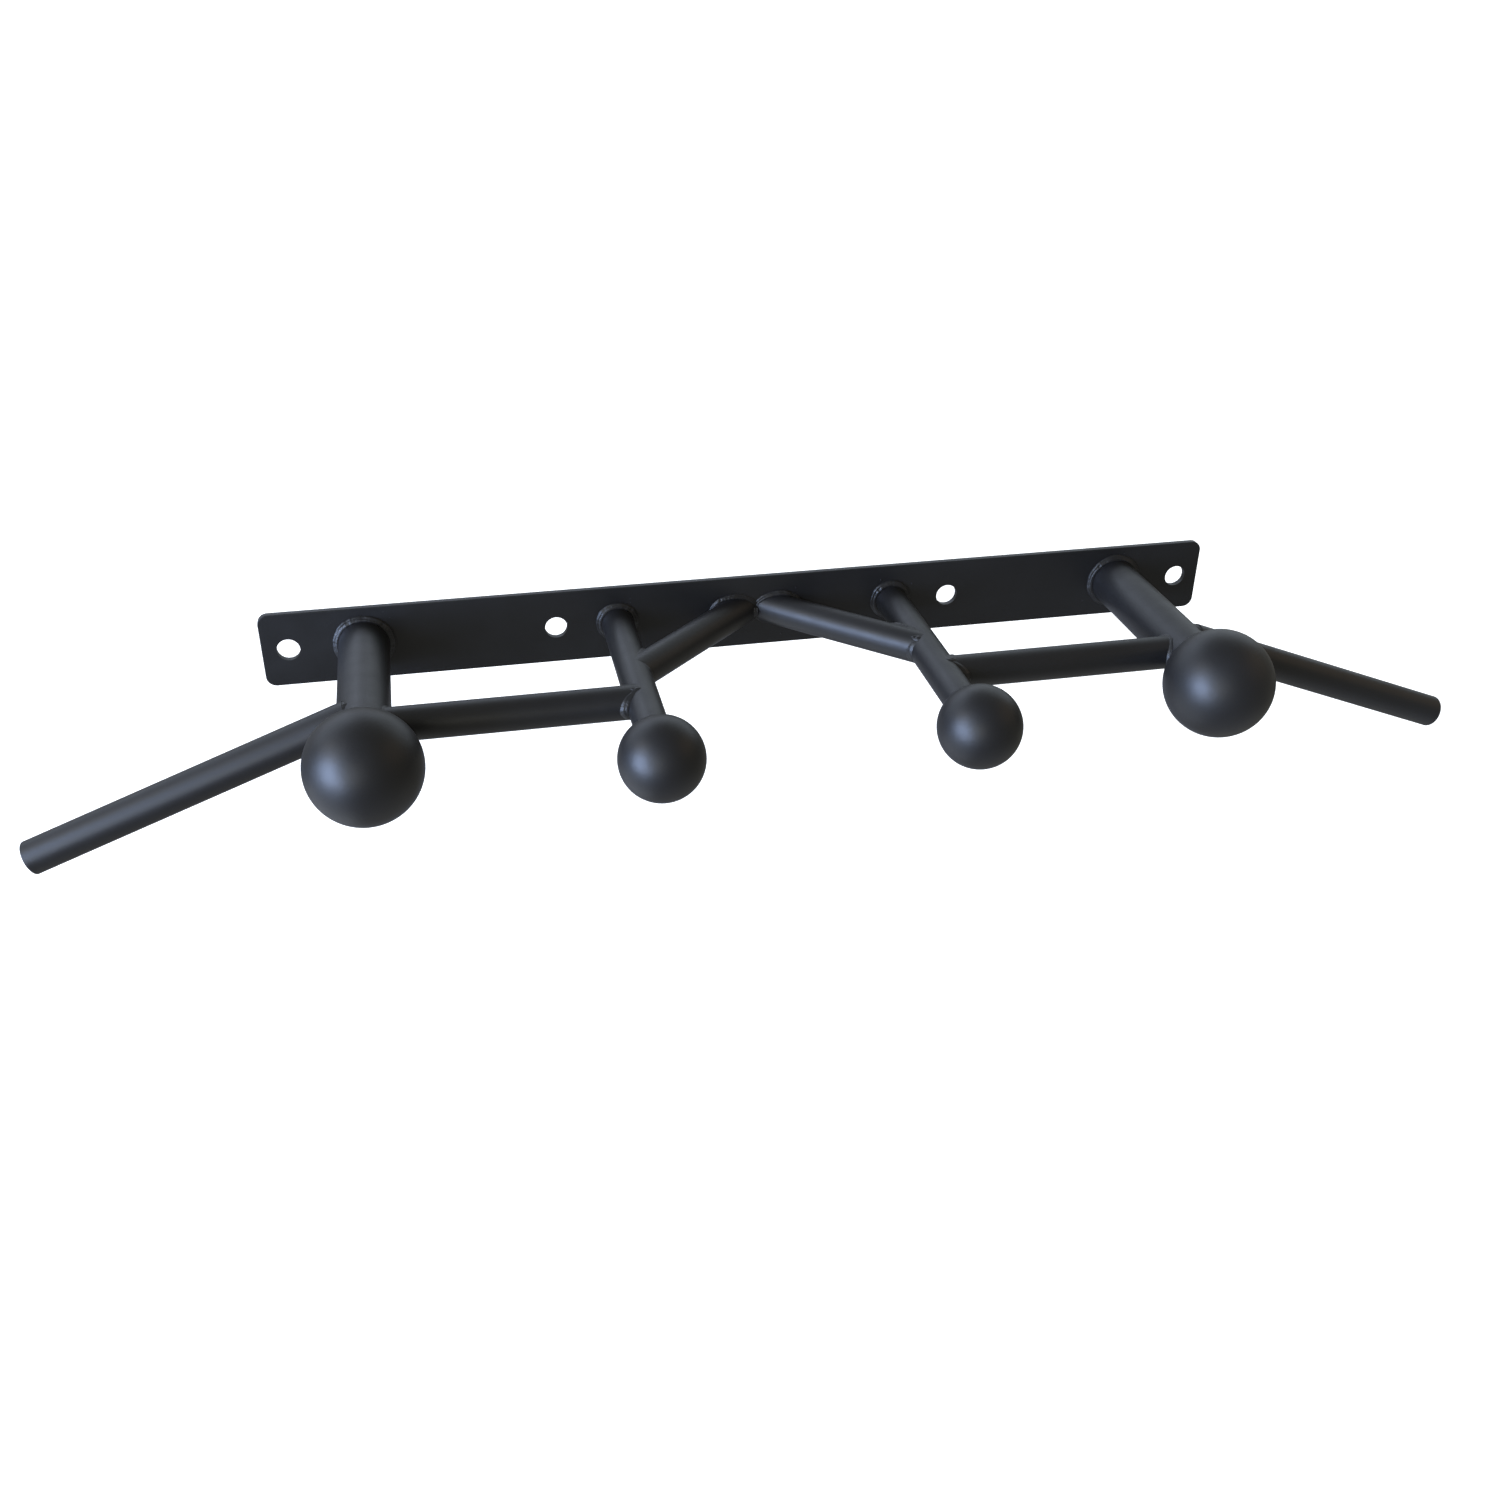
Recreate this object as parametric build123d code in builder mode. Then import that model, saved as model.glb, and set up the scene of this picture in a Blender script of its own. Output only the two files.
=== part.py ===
from build123d import *
import os
from math import cos, radians, sin, sqrt

# A wall-mounted pull-up bar. A flat wall plate carries four round arms that end in grip balls,
# and six straight grip bars are welded between and beside the arms.
#
# Millimetres. +X runs along the wall plate, +Y points into the wall and +Z is up.
# The origin is the centre of the wall plate's back face, the face that lies on the wall.

# Wall plate
PLATE_LENGTH = 970.0
PLATE_HEIGHT = 75.0
PLATE_THICKNESS = 6.0
PLATE_CORNER_RADIUS = 10.0
PLATE_EDGE_RADIUS = 0.8
HOLE_DIAMETER = 22.0
OUTER_HOLE_SPACING = 920.0
INNER_HOLE_SPACING = 406.0

# Arms, square to the wall at the plate's mid-height
OUTER_ARM_SPACING = 778.0
OUTER_ARM_DIAMETER = 48.3
OUTER_ARM_WALL = 3.2
INNER_ARM_SPACING = 284.0
INNER_ARM_DIAMETER = 32.0
INNER_ARM_WALL = 2.5
ARM_INSERT = 10.0  # how far an arm runs on inside its ball

# Hollow grip balls on the arms' ends; each reach is from the wall to the ball's centre
LARGE_BALL_DIAMETER = 101.6
LARGE_BALL_REACH = 245.0
SMALL_BALL_DIAMETER = 76.2
SMALL_BALL_REACH = 280.0
BALL_WALL = 3.0

# Grip bars; each reach is from the wall to the bar's axis where it meets an arm
GRIP_DIAMETER = 31.8
GRIP_WALL = 2.5
MIDDLE_BAR_REACH = 175.0
CENTRE_BAR_REACH = 123.0
CENTRE_BAR_FOOT = 15.0  # from the plate's centre to the bar's axis, at the wall
OUTER_BAR_REACH = 167.0
OUTER_BAR_RISE = 11.1  # height of the bar's axis above the arm's axis
OUTER_BAR_SLOPE = 21.0  # degrees that the bar falls below level, away from its arm
OUTER_BAR_SETBACK = 12.0  # from the arm's axis to the bar's sawn end, which rests on the arm
OUTER_BAR_LENGTH = 319.0  # from the arm's axis to the bar's closed end

# Plastic plug in the free end of each outer grip bar
PLUG_FLANGE = 2.5
PLUG_FLANGE_RADIUS = 1.0
PLUG_DEPTH = 16.0
PLUG_CORE_WALL = 1.6
PLUG_FIN_REACH = 1.5  # from the core out to the tube's bore
PLUG_FIN_THICKNESS = 1.2
PLUG_FIN_PITCH = 4.5
PLUG_FIN_COUNT = 3

# Weld beads: how far each one reaches out over both of the surfaces that it joins
PLATE_BEAD = 6.0
JOINT_BEAD = 4.0

os.makedirs("parts", exist_ok=True)


def save(piece, name):
    """Label a finished piece and write it to its own STEP file."""
    piece.part.label = name
    export_step(piece.part, f"parts/{name}.step")


def save_pair(piece, name):
    """Save a piece of the right-hand side, and its mirror image on the left-hand side."""
    with BuildPart() as twin:
        mirror(piece.part, about=Plane.YZ)
    save(piece, f"{name}_right")
    save(twin, f"{name}_left")


def along(start, end):
    """The plane at start that faces end, and the distance between the two."""
    run = Vector(end) - Vector(start)
    return Plane(origin=start, z_dir=run), run.length


def rod(start, end, diameter):
    """A solid round rod between two points, which shapes what a tube of its size meets."""
    plane, length = along(start, end)
    with BuildPart() as solid:
        with BuildSketch(plane):
            Circle(diameter / 2)
        extrude(amount=length)
    return solid.part


def ball(centre, diameter):
    """A solid ball, which shapes what meets a hollow one."""
    with BuildPart() as solid:
        with Locations(centre):
            Sphere(diameter / 2)
    return solid.part


def layer(distance, thickness):
    """A layer the size of the plate that starts at a distance from the wall."""
    with BuildPart() as solid:
        with BuildSketch(Plane.XZ.offset(distance)):
            Rectangle(PLATE_LENGTH, PLATE_HEIGHT)
        extrude(amount=thickness)
    return solid.part


def make_tubes(name, start, end, diameter, wall, coped_to=(), mitred=False):
    """A pair of round tubes between two points. The solids in coped_to shape their ends, and
    mitred ones stop where they reach each other at the plate's middle."""
    plane, length = along(start, end)
    with BuildPart() as tube:
        with BuildSketch(plane):
            Circle(diameter / 2)
            Circle(diameter / 2 - wall, mode=Mode.SUBTRACT)
        extrude(amount=length)
        for solid in coped_to:
            add(solid, mode=Mode.SUBTRACT)
        if mitred:
            split(bisect_by=Plane.YZ)
    save_pair(tube, name)


def make_beads(name, start, end, diameter, size, grown_base, clear_of, mitred=False):
    """A pair of weld beads round the start of a tube that runs from start to end. A bead lies
    within size of the tube and inside grown_base, and clear of the solids that it joins."""
    plane, length = along(start, end)
    with BuildPart() as bead:
        with BuildSketch(plane.offset(-size)):
            Circle(diameter / 2 + size)
        extrude(amount=length)
        add(grown_base, mode=Mode.INTERSECT)
        for solid in clear_of:
            add(solid, mode=Mode.SUBTRACT)
        if mitred:
            split(bisect_by=Plane.YZ)
    save_pair(bead, name)


def make_balls(name, centre, diameter, arm):
    """A pair of hollow balls, each with a round hole in its back where the arm goes in."""
    with BuildPart() as shell:
        with Locations(centre):
            Sphere(diameter / 2)
            Sphere(diameter / 2 - BALL_WALL, mode=Mode.SUBTRACT)
        add(arm, mode=Mode.SUBTRACT)
    save_pair(shell, name)


def make_arms(kind, ball_kind, spacing, diameter, wall, ball_diameter, ball_reach):
    """A pair of arms with their balls, and the beads at both ends of each arm. Returns the
    right-hand arm as a solid rod, and as a rod grown by the size of a joint's bead."""
    hole_depth = sqrt((ball_diameter / 2) ** 2 - (diameter / 2) ** 2)
    foot = (spacing / 2, -PLATE_THICKNESS, 0)
    tip = (spacing / 2, hole_depth - ball_reach - ARM_INSERT, 0)
    centre = (spacing / 2, -ball_reach, 0)
    solid = rod(foot, tip, diameter)
    solid_ball = ball(centre, ball_diameter)
    grown_ball = ball(centre, ball_diameter + 2 * JOINT_BEAD)
    make_tubes(f"{kind}_arm", foot, tip, diameter, wall)
    make_balls(f"{ball_kind}_ball", centre, ball_diameter, solid)
    make_beads(f"{kind}_arm_plate_weld", foot, tip, diameter, PLATE_BEAD, plate_bead_layer, [solid])
    make_beads(
        f"{ball_kind}_ball_weld", centre, foot, diameter, JOINT_BEAD, grown_ball, [solid, solid_ball]
    )
    return solid, rod(foot, tip, diameter + 2 * JOINT_BEAD)


def make_plugs(name, plane):
    """A pair of plastic plugs: a rounded flange over a tube's mouth, and a hollow core inside
    it with fins that press on the bore."""
    bore = GRIP_DIAMETER / 2 - GRIP_WALL
    core = bore - PLUG_FIN_REACH
    with BuildPart() as plug:
        with BuildSketch(plane):
            Circle(GRIP_DIAMETER / 2)
        extrude(amount=PLUG_FLANGE)
        outward = Axis(plane.origin, plane.z_dir)
        fillet(plug.edges().sort_by(outward)[-1], PLUG_FLANGE_RADIUS)
        with BuildSketch(plane):
            Circle(core)
            Circle(core - PLUG_CORE_WALL, mode=Mode.SUBTRACT)
        extrude(amount=-PLUG_DEPTH)
        for fin in range(1, PLUG_FIN_COUNT + 1):
            with BuildSketch(plane.offset(-fin * PLUG_FIN_PITCH)):
                Circle(bore)
                Circle(core - PLUG_CORE_WALL, mode=Mode.SUBTRACT)
            extrude(amount=PLUG_FIN_THICKNESS)
    save_pair(plug, name)


# Wall plate: a flat bar with rounded corners and four holes along its centre line
with BuildPart() as wall_plate:
    with BuildSketch(Plane.XZ):
        RectangleRounded(PLATE_LENGTH, PLATE_HEIGHT, PLATE_CORNER_RADIUS)
        for spacing in (OUTER_HOLE_SPACING, INNER_HOLE_SPACING):
            with GridLocations(spacing, 0, 2, 1):
                Circle(HOLE_DIAMETER / 2, mode=Mode.SUBTRACT)
    extrude(amount=PLATE_THICKNESS)
    front = wall_plate.faces().sort_by(Axis.Y).first
    fillet(front.outer_wire().edges(), PLATE_EDGE_RADIUS)
save(wall_plate, "wall_plate")

# The layer that the beads on the plate fill, and the plate with the wall behind it
plate_bead_layer = layer(PLATE_THICKNESS, PLATE_BEAD)
plate_and_wall = layer(-2 * GRIP_DIAMETER, 2 * GRIP_DIAMETER + PLATE_THICKNESS)

# Arms and balls
outer_arm, grown_outer_arm = make_arms(
    "outer", "large", OUTER_ARM_SPACING, OUTER_ARM_DIAMETER, OUTER_ARM_WALL,
    LARGE_BALL_DIAMETER, LARGE_BALL_REACH,
)
inner_arm, grown_inner_arm = make_arms(
    "inner", "small", INNER_ARM_SPACING, INNER_ARM_DIAMETER, INNER_ARM_WALL,
    SMALL_BALL_DIAMETER, SMALL_BALL_REACH,
)

# Middle grip bars: level and parallel to the wall, from the outer arms to the inner arms
at_outer = (OUTER_ARM_SPACING / 2, -MIDDLE_BAR_REACH, 0)
at_inner = (INNER_ARM_SPACING / 2, -MIDDLE_BAR_REACH, 0)
middle_bar = rod(at_outer, at_inner, GRIP_DIAMETER)
make_tubes("middle_grip_bar", at_outer, at_inner, GRIP_DIAMETER, GRIP_WALL, [outer_arm, inner_arm])
make_beads(
    "middle_bar_outer_weld", at_outer, at_inner, GRIP_DIAMETER, JOINT_BEAD, grown_outer_arm,
    [outer_arm, middle_bar],
)
make_beads(
    "middle_bar_inner_weld", at_inner, at_outer, GRIP_DIAMETER, JOINT_BEAD, grown_inner_arm,
    [inner_arm, middle_bar],
)

# Centre grip bars: level, from the inner arms back to the middle of the plate. Each runs on
# past the plate's front, which cuts it to length, and the two are mitred where they touch.
at_arm = Vector(INNER_ARM_SPACING / 2, -CENTRE_BAR_REACH, 0)
foot = Vector(CENTRE_BAR_FOOT, 0, 0)
past_foot = foot + (foot - at_arm).normalized() * GRIP_DIAMETER
centre_bar = rod(at_arm, past_foot, GRIP_DIAMETER)
make_tubes(
    "centre_grip_bar", at_arm, past_foot, GRIP_DIAMETER, GRIP_WALL, [inner_arm, plate_and_wall],
    mitred=True,
)
make_beads(
    "centre_bar_arm_weld", at_arm, past_foot, GRIP_DIAMETER, JOINT_BEAD, grown_inner_arm,
    [inner_arm, centre_bar],
)
make_beads(
    "centre_bar_plate_weld", past_foot, at_arm, GRIP_DIAMETER, PLATE_BEAD, plate_bead_layer,
    [centre_bar], mitred=True,
)

# Outer grip bars: parallel to the wall, falling away from the outer arms to a plugged free end
slope = radians(OUTER_BAR_SLOPE)
fall = Vector(cos(slope), 0, -sin(slope))
at_outer = Vector(OUTER_ARM_SPACING / 2, -OUTER_BAR_REACH, OUTER_BAR_RISE)
sawn_end = at_outer + fall * OUTER_BAR_SETBACK
mouth = at_outer + fall * (OUTER_BAR_LENGTH - PLUG_FLANGE)
outer_bar = rod(sawn_end, mouth, GRIP_DIAMETER)
make_tubes("outer_grip_bar", sawn_end, mouth, GRIP_DIAMETER, GRIP_WALL, [outer_arm])
make_beads(
    "outer_bar_weld", sawn_end, mouth, GRIP_DIAMETER, JOINT_BEAD, grown_outer_arm,
    [outer_arm, outer_bar],
)
make_plugs("outer_end_plug", Plane(origin=mouth, z_dir=fall))
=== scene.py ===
import math
import random
from collections import namedtuple

import bmesh
import bpy
import numpy as np
from mathutils import Euler, Matrix, Vector, noise


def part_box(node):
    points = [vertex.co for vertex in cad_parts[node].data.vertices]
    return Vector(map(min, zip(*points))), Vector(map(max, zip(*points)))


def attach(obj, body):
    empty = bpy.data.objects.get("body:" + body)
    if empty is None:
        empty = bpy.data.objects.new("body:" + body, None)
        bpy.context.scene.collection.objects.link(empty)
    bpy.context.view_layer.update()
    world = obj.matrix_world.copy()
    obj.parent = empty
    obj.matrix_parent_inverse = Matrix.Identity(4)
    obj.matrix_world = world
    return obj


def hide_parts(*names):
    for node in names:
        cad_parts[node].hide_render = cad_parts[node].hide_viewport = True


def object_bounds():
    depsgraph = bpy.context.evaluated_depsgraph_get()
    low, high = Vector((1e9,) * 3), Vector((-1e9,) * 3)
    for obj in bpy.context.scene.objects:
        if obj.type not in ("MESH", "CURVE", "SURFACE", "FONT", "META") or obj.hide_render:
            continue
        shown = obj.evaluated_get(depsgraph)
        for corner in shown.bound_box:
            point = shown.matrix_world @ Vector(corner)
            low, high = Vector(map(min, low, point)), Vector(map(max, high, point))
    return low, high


# The looks of a wall-mounted pull-up bar in black powder coat, with plastic end plugs. The CAD's
# plate, tubes, balls and plugs stay and get their materials. The CAD's plain weld beads are
# replaced by rippled ones, which follow the seams between the same CAD tubes.
#
# Metres, in the frame of the CAD model: +X along the plate, +Y into the wall, +Z up.

MM = 0.001
SIDES = ("left", "right")

# Camera
CAMERA_LOCATION = (-0.3103, -1.3844, 0.6574)
CAMERA_ROTATION = (59.83, -0.50, -12.20)  # degrees
CAMERA_LENS = 36.62
CAMERA_SENSOR = 36.0

# Stage
FLOOR_DROP = 2.2  # below the plate's middle, as high as such a bar is mounted
FLOOR_HALF_WIDTH = 60.0
FLOOR_COLOUR = (0.8, 0.8, 0.8)
FLOOR_ROUGHNESS = 0.9
FLOOR_GLOW = 0.9
BACKDROP_COLOUR = (1.0, 1.0, 1.0)
ROOM_COLOUR = (0.255, 0.253, 0.227)

# Soft lights: name, azimuth and elevation as seen from the bar (0 is straight out from the
# wall, 90 is along +X), width, height, watts and colour
LIGHT_DISTANCE = 8.0
LIGHTS = (
    ("key", -68, 10, 5.2, 4.8, 1100.0, (0.50, 0.65, 1.0)),
    ("key_spill", -52, -4, 4.2, 2.4, 350.0, (0.57, 0.70, 1.0)),
    ("front_left", -28, 15, 5.4, 5.4, 125.0, (1.0, 0.99, 0.88)),
    ("high_left", -78, 35, 6.6, 4.2, 150.0, (1.0, 1.0, 0.95)),
    ("low_left", -93, -45, 10.0, 9.0, 190.0, (0.78, 0.86, 1.0)),
    ("low_right", 60, -60, 10.0, 9.0, 40.0, (0.80, 0.85, 1.0)),
    ("low_back", 180, -40, 10.0, 8.0, 38.0, (0.38, 0.52, 1.0)),
    ("fill_right", 80, 32, 8.0, 5.4, 33.0, (1.0, 0.69, 0.46)),
    ("back", -175, 29, 5.4, 4.8, 66.0, (0.70, 0.80, 1.0)),
    ("back_left", -140, 32, 8.0, 6.6, 153.0, (0.71, 0.81, 1.0)),
    ("back_right", 145, 22, 8.0, 6.6, 114.0, (0.73, 0.85, 1.0)),
)

# Coats: a fine grain over a wavy orange peel, with faint clouds of colour and gloss
Finish = namedtuple("Finish", "colour roughness grain_scale grain_depth peel_depth")
POWDER = Finish((0.008, 0.008, 0.009), 0.45, 1500.0, 0.012 * MM, 0.05 * MM)
PLASTIC = Finish((0.012, 0.012, 0.013), 0.5, 2400.0, 0.02 * MM, 0.01 * MM)
PEEL_SCALE = 330.0
CLOUD_SCALE = 14.0
GLOSS_SCALE = 45.0
CLOUD_STRENGTH = 0.12  # share of the colour
GLOSS_STRENGTH = 0.03  # on the roughness
NOISE_LOW, NOISE_HIGH = 0.3, 0.7  # where most of a noise pattern's values lie

# Weld beads. Their legs run along the tube and along the surface that it meets.
Style = namedtuple("Style", "tube_leg base_leg passes ripple lumps thinning")
PLATE_BEAD = Style(3.4 * MM, 5.8 * MM, 2, 0.08 * MM, 0.60 * MM, 0.2)
CENTRE_BEAD = Style(3.2 * MM, 5.2 * MM, 2, 0.08 * MM, 0.60 * MM, 0.8)
JOINT_BEAD = Style(3.0 * MM, 3.0 * MM, 1, 0.06 * MM, 0.40 * MM, 0.2)
PROUD_BEAD = Style(7.5 * MM, 2.8 * MM, 1, 0.06 * MM, 0.80 * MM, 0.2)
WIDE_BEAD = Style(11.0 * MM, 3.2 * MM, 1, 0.06 * MM, 0.80 * MM, 0.0)
BALL_BEAD = Style(4.0 * MM, 4.0 * MM, 1, 0.20 * MM, 0.40 * MM, 0.0)
FLUSH = 0.12  # share of its size that a bead keeps where the surfaces meet almost level
RIPPLE_PITCH = 2.9 * MM
RIPPLE_SAMPLES = 8  # along the seam, for each ripple
RIPPLE_CURL = 0.55  # how far the middle of a ripple runs ahead of its ends, in ripples
RIPPLE_DRIFT = 0.7  # how far a ripple may stray from its even place, in ripples
DRIFT_SCALE = 150.0  # noise scales, per metre
STRENGTH_SCALE = 110.0
STREAK_SCALE = 90.0
SPECK_SCALE = 600.0
SWAY_SCALE = 110.0
FINE_SWAY_SCALE = 420.0
PASS_SHIFT = 7.3  # between the noise of one pass and that of the next
RIPPLE_STRENGTH = 0.8  # of the style's ripple, on average
RIPPLE_UNEVENNESS = 0.6
RIPPLE_EDGE = 2.5  # how steeply the ripples rise from the edges of a pass
STREAKS = 3  # across a pass
SPECK_SHARE = 0.3
FINE_SWAY_SHARE = 0.4
PASS_HEIGHT = 0.45 * MM  # how far each pass of a bead with two passes stands out
BEAD_POINTS = 16  # across the bead
TOE_DEPTH = 0.3 * MM  # how far a bead's edges sink below the surfaces
ROOT_DEPTH = 1.2 * MM  # how far the hidden corner of a bead's section lies inside the metal
BULGE = 0.11  # height of the bead's convex face, as a share of its width
WIDTH_VARIATION = 0.16
RAMP = 0.6  # how far a bead reaches out where the tube's end stands off the base, in gaps
LUMP_SIZE = 0.8  # share of its size that a bead has at least in the middle of a lump
GAP_SIZE = 0.5  # the same where it bridges a gap as wide as its leg
SMALLEST_SPREAD = 0.5  # keeps a leg finite where the tube runs along the seam
END_SIZE = 0.35  # share of its size that a bead with free ends has there
END_TAPER = 4.0  # how fast it grows from its ends to its full size
CRATER_PLACE = 0.45  # across the bead, from the tube's side
CRATER_RADIUS = 1.5 * MM
CRATER_DEPTH = 1.1 * MM
LUMP_RADIUS = 4.0 * MM
LUMP_HEIGHT = 0.6 * MM
SPATTER_RADIUS = (0.3 * MM, 0.8 * MM)
SPATTER_REACH = (1.4, 2.6)  # from the seam, in legs of the bead
SPATTER_STRETCH = (0.8, 1.2)
SPATTER_HEIGHT = 0.7  # share of the radius
SEAM_REACH = 60 * MM  # the longest cut across the end of a tube
SEAM_HALVINGS = 30
UP = Vector((0, 0, 1))
FRONT = Vector((0, -1, 0))
# The welds between tubes that differ from the plain ones, and the sides of their craters
SPECIAL_WELDS = {
    "middle_bar_inner_weld_left": (PROUD_BEAD, [UP + 0.2 * FRONT]),
    "middle_bar_inner_weld_right": (PROUD_BEAD, [UP + 0.2 * FRONT]),
    "middle_bar_outer_weld_right": (JOINT_BEAD, [UP + 0.3 * FRONT]),
    "centre_bar_arm_weld_right": (WIDE_BEAD, [UP + 0.8 * FRONT]),
    "outer_bar_weld_left": (JOINT_BEAD, [UP]),
    "outer_bar_weld_right": (PROUD_BEAD, []),
}

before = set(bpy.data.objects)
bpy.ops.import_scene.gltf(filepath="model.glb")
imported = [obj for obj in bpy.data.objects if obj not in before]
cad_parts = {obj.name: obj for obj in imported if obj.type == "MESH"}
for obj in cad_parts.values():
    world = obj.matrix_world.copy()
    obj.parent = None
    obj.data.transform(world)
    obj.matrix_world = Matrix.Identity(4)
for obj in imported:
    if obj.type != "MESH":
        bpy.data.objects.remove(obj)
cad_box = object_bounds()

Tube = namedtuple("Tube", "start direction radius")
Seam = namedtuple("Seam", "point along tube_normal base_normal")


# Surfaces. Each is a function that gives a point's distance outside it and its normal there.


def plane_surface(y):
    """The plate's front, which faces -Y."""
    return lambda point: (y - point.y, Vector((0, -1, 0)))


def tube_surface(tube):
    def measure(point):
        offset = point - tube.start
        radial = offset - tube.direction * offset.dot(tube.direction)
        return radial.length - tube.radius, radial.normalized()

    return measure


def ball_surface(node):
    low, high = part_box(node)
    radius = (high.x - low.x) / 2
    centre = Vector(((low.x + high.x) / 2, low.y + radius, (low.z + high.z) / 2))

    def measure(point):
        radial = point - centre
        return radial.length - radius, radial.normalized()

    return measure


def tube_from(node, surface):
    """The straight tube of a CAD node, starting at the end that meets the surface."""
    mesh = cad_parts[node].data
    normals = np.array([face.normal * face.area for face in mesh.polygons])
    direction = Vector(np.linalg.svd(normals, full_matrices=False)[2][2])
    across = direction.orthogonal().normalized()
    axes = np.array([across, direction.cross(across), direction])
    placed = np.array([vertex.co for vertex in mesh.vertices]) @ axes.T
    low, high = placed.min(axis=0), placed.max(axis=0)
    middle = (low + high) / 2
    ends = [Vector(axes.T @ (middle[0], middle[1], end)) for end in (low[2], high[2])]
    if abs(surface(ends[0])[0]) > abs(surface(ends[1])[0]):
        ends.reverse()
    return Tube(ends[0], (ends[1] - ends[0]).normalized(), (high[0] - low[0]) / 2)


# Seams


def slide(point, surface):
    """The point moved straight onto the surface."""
    distance, normal = surface(point)
    return point - normal * distance


def seam_point(tube, surface, angle):
    """Where the tube's line at that angle leaves the base. A line that never meets the base
    starts at the tube's end."""
    across = tube.direction.orthogonal().normalized()
    normal = Matrix.Rotation(angle, 3, tube.direction) @ across
    foot = tube.start + normal * tube.radius
    inside, outside = 0.0, SEAM_REACH
    if surface(foot)[0] >= 0:
        outside = 0.0
    for _ in range(SEAM_HALVINGS):
        middle = (inside + outside) / 2
        if surface(foot + tube.direction * middle)[0] < 0:
            inside = middle
        else:
            outside = middle
    point = foot + tube.direction * outside
    return Seam(point, tube.direction, normal, surface(point)[1])


def trace(tube, surface, steps=360):
    return [seam_point(tube, surface, 2 * math.pi * i / steps) for i in range(steps)]


def resample(seam, closed):
    """The seam again, with points evenly spaced so that each ripple gets its samples."""
    path = seam + seam[:1] if closed else seam
    lengths = [0.0]
    for a, b in zip(path, path[1:]):
        lengths.append(lengths[-1] + (b.point - a.point).length)
    ripples = max(1, round(lengths[-1] / RIPPLE_PITCH))
    count = ripples * RIPPLE_SAMPLES
    spaced = []
    at = 0
    for i in range(count if closed else count + 1):
        want = lengths[-1] * i / count
        while at < len(path) - 2 and lengths[at + 1] < want:
            at += 1
        share = (want - lengths[at]) / max(lengths[at + 1] - lengths[at], 1e-9)
        spaced.append(Seam(*[p.lerp(q, share) for p, q in zip(path[at], path[at + 1])]))
    return spaced, lengths[-1]


# Beads


def bead_section(here, tangent, surface, tube_leg, base_leg):
    """The two toes, the outward direction and the hidden corner of a bead's cross-section."""
    spread = math.sqrt(max(0.0, 1 - here.along.dot(tangent) ** 2))
    spread = max(SMALLEST_SPREAD, spread)
    tube_toe = here.point + here.along * (tube_leg / spread) - here.tube_normal * TOE_DEPTH
    away = here.tube_normal - here.base_normal * here.tube_normal.dot(here.base_normal)
    away -= tangent * away.dot(tangent)
    base_toe = slide(here.point + away.normalized() * base_leg, surface)
    base_toe -= surface(base_toe)[1] * TOE_DEPTH
    outward = (here.tube_normal + here.base_normal).normalized()
    root = here.point - outward * ROOT_DEPTH
    return tube_toe, base_toe, outward, root


def bead_rise(point, here, run, u, chord, style, crater_gaps):
    """How far the bead's face stands out from the straight line between its toes. u runs from
    0 at the tube's toe to 1 at the other."""
    arch = 4 * u * (1 - u)
    layer = min(int(u * style.passes), style.passes - 1)
    v = u * style.passes - layer
    hump = 4 * v * (1 - v)
    beside = Vector((layer * PASS_SHIFT, 0, 0))
    drift = RIPPLE_DRIFT * noise.noise(here.point * DRIFT_SCALE + beside)
    ripple = run / RIPPLE_PITCH + drift - RIPPLE_CURL * hump
    lobe = abs(math.sin(math.pi * ripple)) * min(1.0, RIPPLE_EDGE * hump)
    unevenness = noise.noise(here.point * STRENGTH_SCALE - beside)
    strength = RIPPLE_STRENGTH + RIPPLE_UNEVENNESS * unevenness
    rise = BULGE * chord * arch + style.ripple * strength * lobe
    if style.passes > 1:
        rise += PASS_HEIGHT * hump
    streaks = noise.noise(here.point * STREAK_SCALE + UP * (STREAKS * style.passes * u))
    specks = noise.noise(point * SPECK_SCALE)
    rise += style.lumps * arch * (streaks + SPECK_SHARE * specks)
    for gap in crater_gaps:
        off = math.hypot(gap, (u - CRATER_PLACE) * chord)
        rise += LUMP_HEIGHT * arch * math.exp(-((off / LUMP_RADIUS) ** 2))
        rise -= CRATER_DEPTH * math.exp(-((off / CRATER_RADIUS) ** 2))
    return rise


def bead_size(here, gaps, style, stand_off):
    """A bead's share of its full size. It is small where the surfaces meet almost level, unless
    it fills a gap or has a crater there, and on the tube's underside."""
    sharpness = math.sqrt(max(0.0, 1 - here.tube_normal.dot(here.base_normal)))
    lump = max([0.0] + [math.exp(-((gap / LUMP_RADIUS) ** 2)) for gap in gaps])
    bridge = GAP_SIZE * stand_off / style.base_leg
    size = min(1.0, max(FLUSH, sharpness, LUMP_SIZE * lump, bridge))
    return size * (1 - style.thinning * max(0.0, -here.tube_normal.z))


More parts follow.
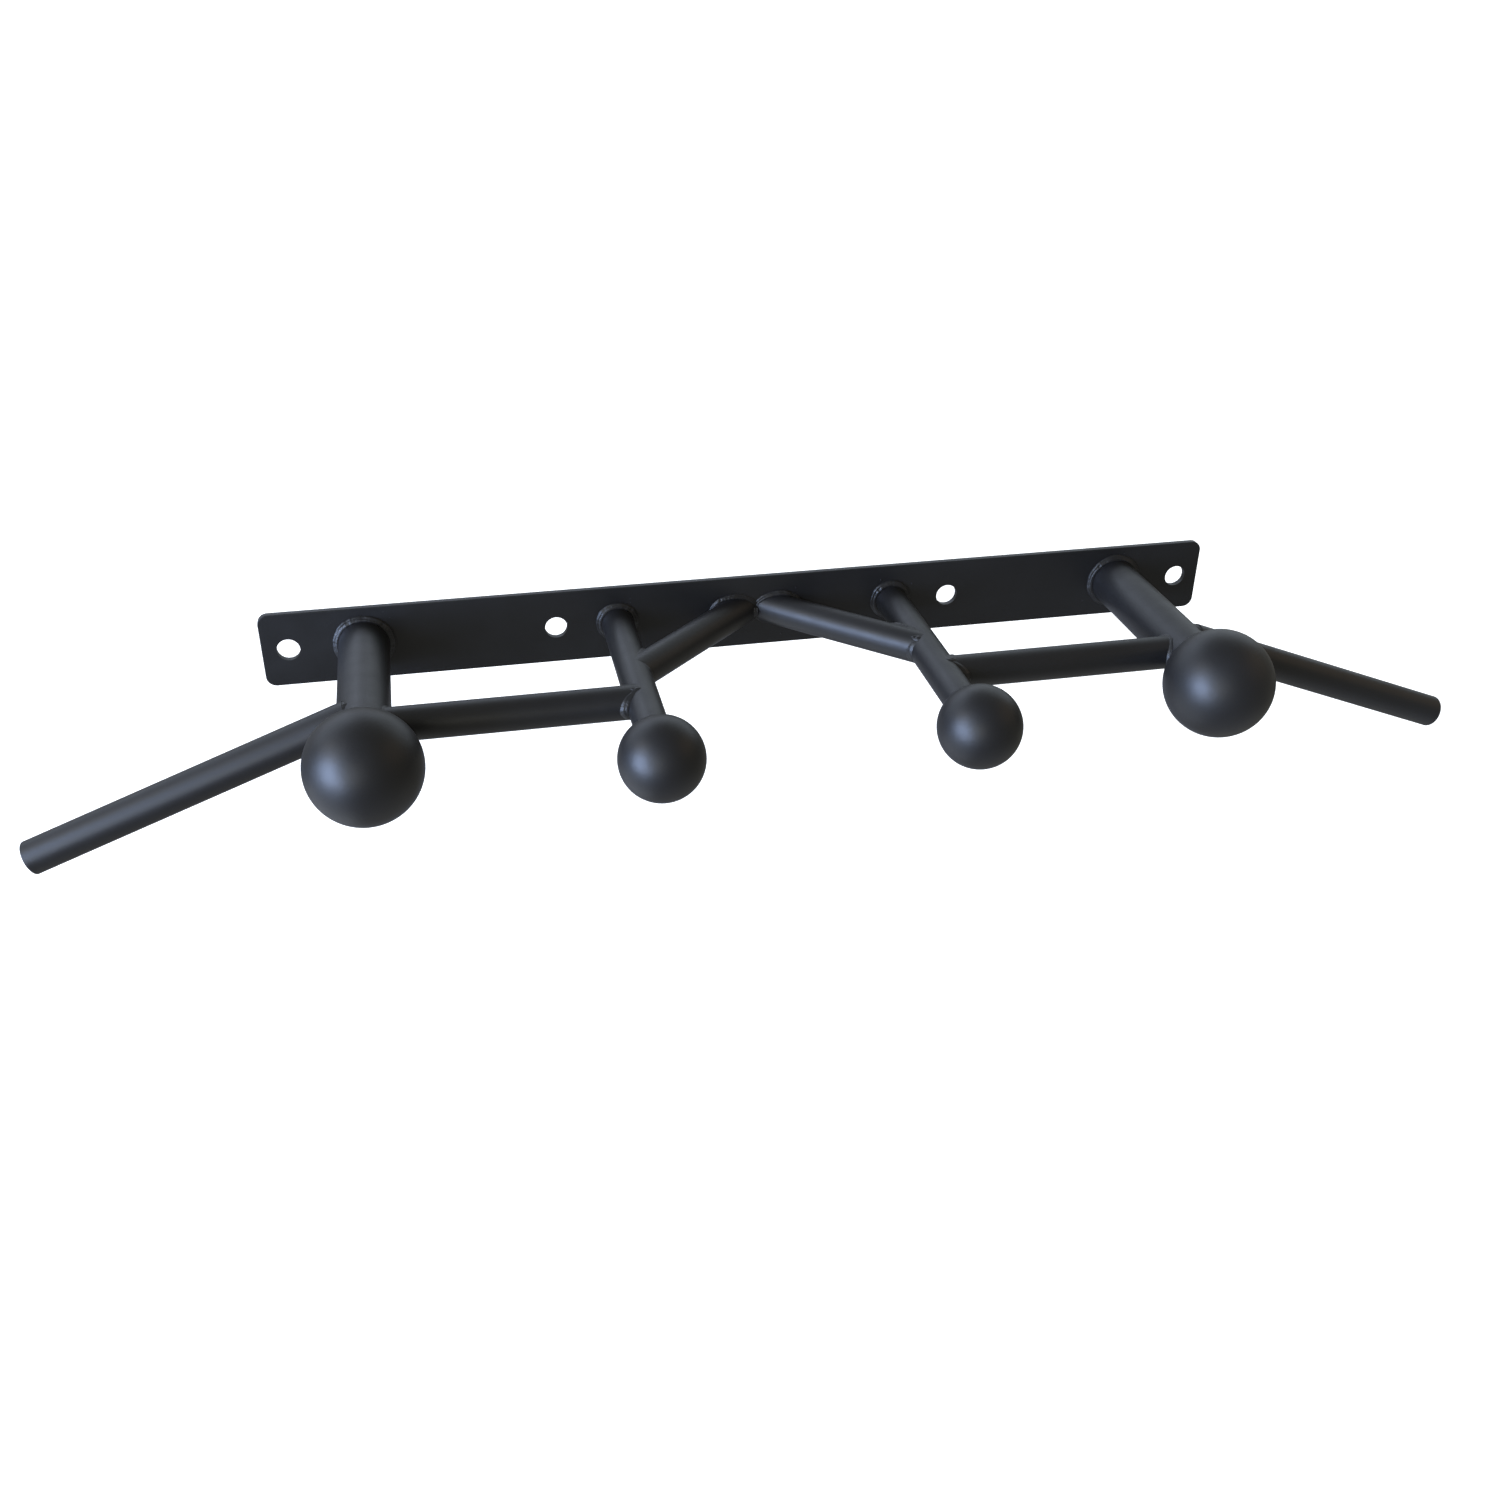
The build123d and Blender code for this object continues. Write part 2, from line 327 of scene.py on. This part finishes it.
def add_bead(bm, seam, surface, style, closed=True, craters=()):
    """Add a rippled fillet weld along a seam to bm. Each crater is the side of the tube where
    a pass starts or stops, in a lump with a pit."""
    spaced, length = resample(seam, closed)
    count = len(spaced)
    step = length / (count if closed else count - 1)
    stops = [
        step * max(range(count), key=lambda i: spaced[i].tube_normal.dot(side))
        for side in craters
    ]
    sections = []
    for i, here in enumerate(spaced):
        ahead = spaced[(i + 1) % count] if closed or i + 1 < count else here
        behind = spaced[i - 1] if closed or i > 0 else here
        tangent = (ahead.point - behind.point).normalized()
        run = step * i
        sway = noise.noise(here.point * SWAY_SCALE)
        sway += FINE_SWAY_SHARE * noise.noise(here.point * FINE_SWAY_SCALE)
        gaps = [abs(run - stop) for stop in stops]
        if closed:
            gaps = [min(gap, length - gap) for gap in gaps]
        stand_off = max(0.0, surface(here.point)[0])
        size = bead_size(here, gaps, style, stand_off)
        if not closed:
            size *= min(1.0, END_SIZE + END_TAPER * min(i, count - 1 - i) / count)
        width = size * (1 + WIDTH_VARIATION * sway)
        base_leg = style.base_leg * width + RAMP * stand_off
        tube_toe, base_toe, outward, root = bead_section(
            here, tangent, surface, style.tube_leg * width, base_leg
        )
        chord = (base_toe - tube_toe).length
        section = []
        for j in range(BEAD_POINTS + 1):
            u = j / BEAD_POINTS
            point = tube_toe.lerp(base_toe, u)
            rise = size * bead_rise(point, here, run, u, chord, style, gaps)
            section.append(bm.verts.new(point + outward * rise))
        section.append(bm.verts.new(root))
        sections.append(section)
    pairs = list(zip(sections, sections[1:]))
    if closed:
        pairs.append((sections[-1], sections[0]))
    else:
        bm.faces.new(sections[0])
        bm.faces.new(sections[-1])
    for section, following in pairs:
        for j in range(len(section)):
            k = (j + 1) % len(section)
            bm.faces.new((section[j], section[k], following[k], following[j]))


def add_spatter(bm, seam, surface, style, seed, count):
    """Add small beads of spattered weld metal to bm, on the base beside a seam."""
    draw = random.Random(seed)
    for _ in range(count):
        here = draw.choice(seam)
        radius = draw.uniform(*SPATTER_RADIUS)
        away = here.tube_normal - here.base_normal * here.tube_normal.dot(here.base_normal)
        reach = style.base_leg * draw.uniform(*SPATTER_REACH)
        centre = slide(here.point + away.normalized() * reach, surface)
        normal = surface(centre)[1]
        turn = normal.to_track_quat("Z", "Y").to_matrix().to_4x4()
        breadth = radius * draw.uniform(*SPATTER_STRETCH)
        size = Matrix.Diagonal((radius, breadth, radius * SPATTER_HEIGHT, 1))
        bmesh.ops.create_icosphere(
            bm, subdivisions=2, radius=1.0, matrix=Matrix.Translation(centre) @ turn @ size
        )


def make_piece(name, bm, nodes=()):
    """Make a piece of weld metal from a finished bmesh, standing for CAD nodes."""
    bmesh.ops.recalc_face_normals(bm, faces=bm.faces)
    mesh = bpy.data.meshes.new(name)
    bm.to_mesh(mesh)
    bm.free()
    mesh.shade_smooth()
    mesh.materials.append(coats["weld_coating"])
    piece = bpy.data.objects.new(name, mesh)
    bpy.context.scene.collection.objects.link(piece)
    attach(piece, "root")
    if nodes:
        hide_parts(*nodes)


def make_bead(node, tube, surface, style, craters=(), spatter=0):
    """Replace a CAD weld node by a rippled bead where the tube meets the surface."""
    seam = trace(tube, surface)
    bm = bmesh.new()
    add_bead(bm, seam, surface, style, craters=craters)
    add_spatter(bm, seam, surface, style, sum(map(ord, node)), spatter)
    make_piece(f"{node}_bead", bm, [node])


# Materials


def make_coat(name, finish):
    """A procedural material with that finish."""
    material = bpy.data.materials.new(name)
    material.use_nodes = True
    nodes, links = material.node_tree.nodes, material.node_tree.links
    shader = nodes["Principled BSDF"]
    place = nodes.new("ShaderNodeTexCoord").outputs["Object"]

    def pattern(scale, detail):
        node = nodes.new("ShaderNodeTexNoise")
        node.inputs["Scale"].default_value = scale
        node.inputs["Detail"].default_value = detail
        node.inputs["Roughness"].default_value = 0.5
        links.new(place, node.inputs["Vector"])
        return node.outputs["Fac"]

    def spread(factor, low, high):
        node = nodes.new("ShaderNodeMapRange")
        node.inputs["From Min"].default_value = NOISE_LOW
        node.inputs["From Max"].default_value = NOISE_HIGH
        node.inputs["To Min"].default_value = low
        node.inputs["To Max"].default_value = high
        links.new(factor, node.inputs["Value"])
        return node.outputs["Result"]

    def bump(height, depth):
        node = nodes.new("ShaderNodeBump")
        node.inputs["Distance"].default_value = depth
        links.new(height, node.inputs["Height"])
        return node

    tint = nodes.new("ShaderNodeMix")
    tint.data_type = "RGBA"
    for end, share in (("A", 1 - CLOUD_STRENGTH), ("B", 1 + CLOUD_STRENGTH)):
        tint.inputs[end].default_value = (*[c * share for c in finish.colour], 1)
    links.new(spread(pattern(CLOUD_SCALE, 4.0), 0.0, 1.0), tint.inputs["Factor"])
    links.new(tint.outputs["Result"], shader.inputs["Base Color"])
    glossiest = finish.roughness - GLOSS_STRENGTH
    dullest = finish.roughness + GLOSS_STRENGTH
    gloss = spread(pattern(GLOSS_SCALE, 5.0), glossiest, dullest)
    links.new(gloss, shader.inputs["Roughness"])

    peel = bump(pattern(PEEL_SCALE, 2.0), finish.peel_depth)
    grain = bump(pattern(finish.grain_scale, 2.0), finish.grain_depth)
    links.new(peel.outputs["Normal"], grain.inputs["Normal"])
    links.new(grain.outputs["Normal"], shader.inputs["Normal"])
    return material


coats = {
    f"{kind}_coating": make_coat(f"{kind}_powder_coat", POWDER)
    for kind in ("plate", "tube", "ball", "weld")
}
coats["end_plug_plastic"] = make_coat("moulded_plastic", PLASTIC)
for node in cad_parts.values():
    slot = node.data.materials[0].name
    node.material_slots[0].material = coats[slot]


# Weld beads

plate_front_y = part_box("outer_arm_left")[1].y
plate_front = plane_surface(plate_front_y)
centre_bars = []
for side in SIDES:
    outward = Vector((-1 if side == "left" else 1, 0, 0))
    arms = {kind: tube_from(f"{kind}_arm_{side}", plate_front) for kind in ("outer", "inner")}
    for kind, ball in (("outer", "large"), ("inner", "small")):
        weld = f"{kind}_arm_plate_weld_{side}"
        start = UP - outward
        make_bead(weld, arms[kind], plate_front, PLATE_BEAD, [start], spatter=4)
        round_ball = ball_surface(f"{ball}_ball_{side}")
        arm_at_ball = tube_from(f"{kind}_arm_{side}", round_ball)
        make_bead(f"{ball}_ball_weld_{side}", arm_at_ball, round_ball, BALL_BEAD)
    for weld, bar, kind in (
        ("middle_bar_outer_weld", "middle_grip_bar", "outer"),
        ("middle_bar_inner_weld", "middle_grip_bar", "inner"),
        ("centre_bar_arm_weld", "centre_grip_bar", "inner"),
        ("outer_bar_weld", "outer_grip_bar", "outer"),
    ):
        round_arm = tube_surface(arms[kind])
        tube = tube_from(f"{bar}_{side}", round_arm)
        style, craters = SPECIAL_WELDS.get(f"{weld}_{side}", (JOINT_BEAD, []))
        make_bead(f"{weld}_{side}", tube, round_arm, style, craters)
    bar = tube_from(f"centre_grip_bar_{side}", plate_front)
    whole_bar = bar._replace(start=bar.start - bar.direction * bar.radius)
    weld = f"centre_bar_plate_weld_{side}"
    make_bead(weld, whole_bar, plate_front, CENTRE_BEAD, [UP + outward], spatter=2)
    centre_bars.append(whole_bar)

# The bead in the notch where the two centre bars touch, in front of the plate
other_bar = tube_surface(centre_bars[0])
notch = [seam for seam in trace(centre_bars[1], other_bar) if seam.point.y < plate_front_y]
notch.sort(key=lambda seam: seam.point.z)
notch_bm = bmesh.new()
add_bead(notch_bm, notch, other_bar, CENTRE_BEAD, closed=False)
make_piece("centre_bars_notch_bead", notch_bm)


# Stage, light and camera


def make_floor():
    """A wide pale floor that glows, that the object doesn't reflect and that lets the light from
    below through."""
    half = FLOOR_HALF_WIDTH
    corners = [(-half, -half, 0), (half, -half, 0), (half, half, 0), (-half, half, 0)]
    mesh = bpy.data.meshes.new("floor")
    mesh.from_pydata(corners, [], [(0, 1, 2, 3)])
    floor = bpy.data.objects.new("floor", mesh)
    floor.location.z = -FLOOR_DROP
    bpy.context.scene.collection.objects.link(floor)
    material = bpy.data.materials.new("floor_paint")
    material.use_nodes = True
    shader = material.node_tree.nodes["Principled BSDF"]
    shader.inputs["Base Color"].default_value = (*FLOOR_COLOUR, 1)
    shader.inputs["Roughness"].default_value = FLOOR_ROUGHNESS
    shader.inputs["Emission Color"].default_value = (1, 1, 1, 1)
    shader.inputs["Emission Strength"].default_value = FLOOR_GLOW
    mesh.materials.append(material)
    floor.visible_glossy = False
    floor.visible_diffuse = False
    floor.visible_shadow = False


def make_room():
    """An even, dim room that is pale where the camera sees it."""
    world = bpy.data.worlds.new("room")
    bpy.context.scene.world = world
    world.use_nodes = True
    nodes, links = world.node_tree.nodes, world.node_tree.links
    room = nodes["Background"]
    room.inputs["Color"].default_value = (*ROOM_COLOUR, 1)
    backdrop = nodes.new("ShaderNodeBackground")
    backdrop.inputs["Color"].default_value = (*BACKDROP_COLOUR, 1)
    choice = nodes.new("ShaderNodeMixShader")
    path = nodes.new("ShaderNodeLightPath")
    links.new(path.outputs["Is Camera Ray"], choice.inputs["Fac"])
    links.new(room.outputs["Background"], choice.inputs[1])
    links.new(backdrop.outputs["Background"], choice.inputs[2])
    links.new(choice.outputs["Shader"], nodes["World Output"].inputs["Surface"])


def make_light(name, azimuth, elevation, width, height, power, colour):
    """A wide soft light that faces the middle of the bar."""
    lamp = bpy.data.lights.new(name, "AREA")
    lamp.shape = "ELLIPSE"
    lamp.size = width
    lamp.size_y = height
    lamp.energy = power
    lamp.color = colour
    light = bpy.data.objects.new(name, lamp)
    turn, rise = math.radians(azimuth), math.radians(elevation)
    towards = Vector(
        (math.sin(turn) * math.cos(rise), -math.cos(turn) * math.cos(rise), math.sin(rise))
    )
    low, high = cad_box
    light.location = (low + high) / 2 + towards * LIGHT_DISTANCE
    light.rotation_mode = "QUATERNION"
    light.rotation_quaternion = towards.to_track_quat("Z", "Y")
    bpy.context.scene.collection.objects.link(light)


def make_camera():
    lens = bpy.data.cameras.new("camera")
    lens.lens = CAMERA_LENS
    lens.sensor_width = CAMERA_SENSOR
    camera = bpy.data.objects.new("camera", lens)
    camera.location = CAMERA_LOCATION
    camera.rotation_euler = Euler([math.radians(angle) for angle in CAMERA_ROTATION])
    bpy.context.scene.collection.objects.link(camera)
    bpy.context.scene.camera = camera


make_floor()
make_room()
for light in LIGHTS:
    make_light(*light)
make_camera()
bpy.context.scene.view_settings.view_transform = "Standard"
